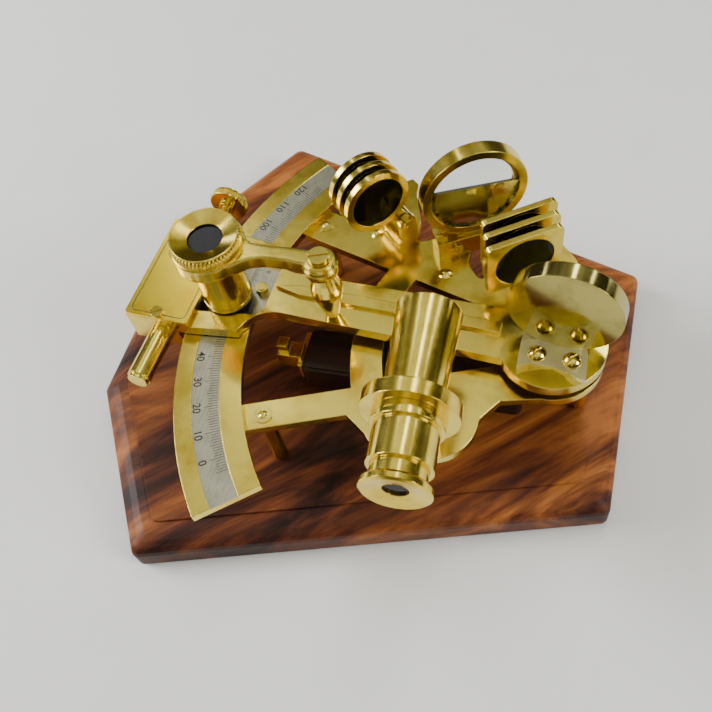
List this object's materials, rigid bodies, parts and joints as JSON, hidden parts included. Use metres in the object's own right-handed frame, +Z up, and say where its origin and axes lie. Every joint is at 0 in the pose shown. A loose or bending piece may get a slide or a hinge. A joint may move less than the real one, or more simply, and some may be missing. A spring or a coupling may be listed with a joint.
{
  "type": "nautical sextant",
  "caption": "Brass nautical sextant with telescope, mirrors, swinging shades and a clamped index arm, standing on a dark hardwood display base.",
  "frame": {"origin": "centre of the underside of the base's felt", "axes": "+Z up; the limb and clamp point to -X, the index mirror to +X; the telescope eyepiece points to -Y"},
  "size_m": [0.1854, 0.1898, 0.0846],
  "materials": {
    "sheesham": "gloss",
    "rosewood": "gloss",
    "felt": "matte",
    "brass": "polished",
    "polished_brass": "polished",
    "silvered_scale": "satin",
    "clear_glass": "polished",
    "shade_glass": "polished",
    "lens_glass": "polished",
    "mirror": "polished"
  },
  "bodies": {
    "base": {"base_board": "sheesham", "base_felt": "felt"},
    "frame": {"frame_plate": "brass", "limb": "brass", "scale_arc": "silvered_scale", "leg_rivets": "polished_brass", "feet": "brass", "pivot_stud": "polished_brass", "handle_grip": "rosewood", "handle_brackets": "brass", "telescope_bracket": "brass", "telescope_tube": "brass", "objective_lens": "lens_glass", "horizon_bracket": "brass", "horizon_ring": "brass", "horizon_glass_clear": "clear_glass", "horizon_glass_silvered": "mirror", "horizon_screws": "polished_brass", "horizon_shade_bracket": "brass", "horizon_shade_pin": "polished_brass", "index_shade_bracket": "brass", "index_shade_pin": "polished_brass", "shade_screws": "polished_brass"},
    "arm": {"index_arm": "brass", "vernier_plate": "silvered_scale", "vernier_screw": "polished_brass", "window_stud": "silvered_scale", "clamp_block": "brass", "clamp_cover": "polished_brass", "cover_screw": "polished_brass", "spring_barrel": "brass", "index_mirror_bracket": "brass", "index_mirror_cup": "polished_brass", "index_mirror_glass": "mirror", "index_mirror_screws": "polished_brass", "magnifier_post": "brass", "magnifier_screw": "polished_brass", "clamp_shoe": "brass"},
    "draw": {"draw_tube": "brass", "eye_lens": "lens_glass"},
    "magnifier_arm": {"magnifier_arm": "brass"},
    "magnifier": {"magnifier_barrel": "brass", "magnifier_lens": "lens_glass"},
    "tangent_screw": {"tangent_screw": "polished_brass"},
    "clamp_screw": {"clamp_screw": "polished_brass"},
    "horizon_shade_1": {"horizon_shade_1": "brass", "horizon_shade_glass_1": "shade_glass"},
    "horizon_shade_2": {"horizon_shade_2": "brass", "horizon_shade_glass_2": "shade_glass"},
    "horizon_shade_3": {"horizon_shade_3": "brass", "horizon_shade_glass_3": "shade_glass"},
    "index_shade_1": {"index_shade_1": "brass", "index_shade_glass_1": "shade_glass"},
    "index_shade_2": {"index_shade_2": "brass", "index_shade_glass_2": "shade_glass"},
    "index_shade_3": {"index_shade_3": "brass", "index_shade_glass_3": "shade_glass"}
  },
  "joints": [
    {"name": "sextant_lift", "type": "slide", "parent": "base", "child": "frame", "axis": [0, 0, 1], "range_m": [0, 0.04]},
    {"name": "index_arm_swing", "type": "hinge", "parent": "frame", "child": "arm", "pos_m": [0.0671, -0.0128, 0.0471], "axis": [0, 0, 1], "range_deg": [-12, 34.5]},
    {"name": "draw_tube_focus", "type": "slide", "parent": "frame", "child": "draw", "axis": [0.0649, -0.9979, 0], "range_m": [-0.0035, 0.006]},
    {"name": "magnifier_swing", "type": "hinge", "parent": "arm", "child": "magnifier_arm", "pos_m": [-0.00303, -0.0138, 0.0741], "axis": [0, 0, 1], "range_deg": [-30, 30]},
    {"name": "magnifier_focus", "type": "slide", "parent": "magnifier_arm", "child": "magnifier", "axis": [0, 0, 1], "range_m": [0, 0.004]},
    {"name": "tangent_screw_turn", "type": "hinge", "parent": "arm", "child": "tangent_screw", "pos_m": [-0.05806, 0.03232, 0.0431], "axis": [0.0485, 0.9988, 0], "continuous": true},
    {"name": "clamp_screw_turn", "type": "hinge", "parent": "arm", "child": "clamp_screw", "pos_m": [-0.06574, -0.00635, 0.0331], "axis": [0, 0, 1], "range_deg": [-180, 180]},
    {"name": "horizon_shade_1_swing", "type": "hinge", "parent": "frame", "child": "horizon_shade_1", "pos_m": [0.01139, 0.02612, 0.0531], "axis": [-0.7159, 0.6982, 0], "range_deg": [0, 80]},
    {"name": "horizon_shade_2_swing", "type": "hinge", "parent": "frame", "child": "horizon_shade_2", "pos_m": [0.00781, 0.02961, 0.0531], "axis": [-0.7159, 0.6982, 0], "range_deg": [0, 80]},
    {"name": "horizon_shade_3_swing", "type": "hinge", "parent": "frame", "child": "horizon_shade_3", "pos_m": [0.00423, 0.0331, 0.0531], "axis": [-0.7159, 0.6982, 0], "range_deg": [0, 80]},
    {"name": "index_shade_1_swing", "type": "hinge", "parent": "frame", "child": "index_shade_1", "pos_m": [0.06257, 0.00983, 0.0511], "axis": [-0.5479, 0.8366, 0], "range_deg": [0, 90]},
    {"name": "index_shade_2_swing", "type": "hinge", "parent": "frame", "child": "index_shade_2", "pos_m": [0.05983, 0.01401, 0.0511], "axis": [-0.5479, 0.8366, 0], "range_deg": [0, 90]},
    {"name": "index_shade_3_swing", "type": "hinge", "parent": "frame", "child": "index_shade_3", "pos_m": [0.05709, 0.01819, 0.0511], "axis": [-0.5479, 0.8366, 0], "range_deg": [0, 90]}
  ]
}
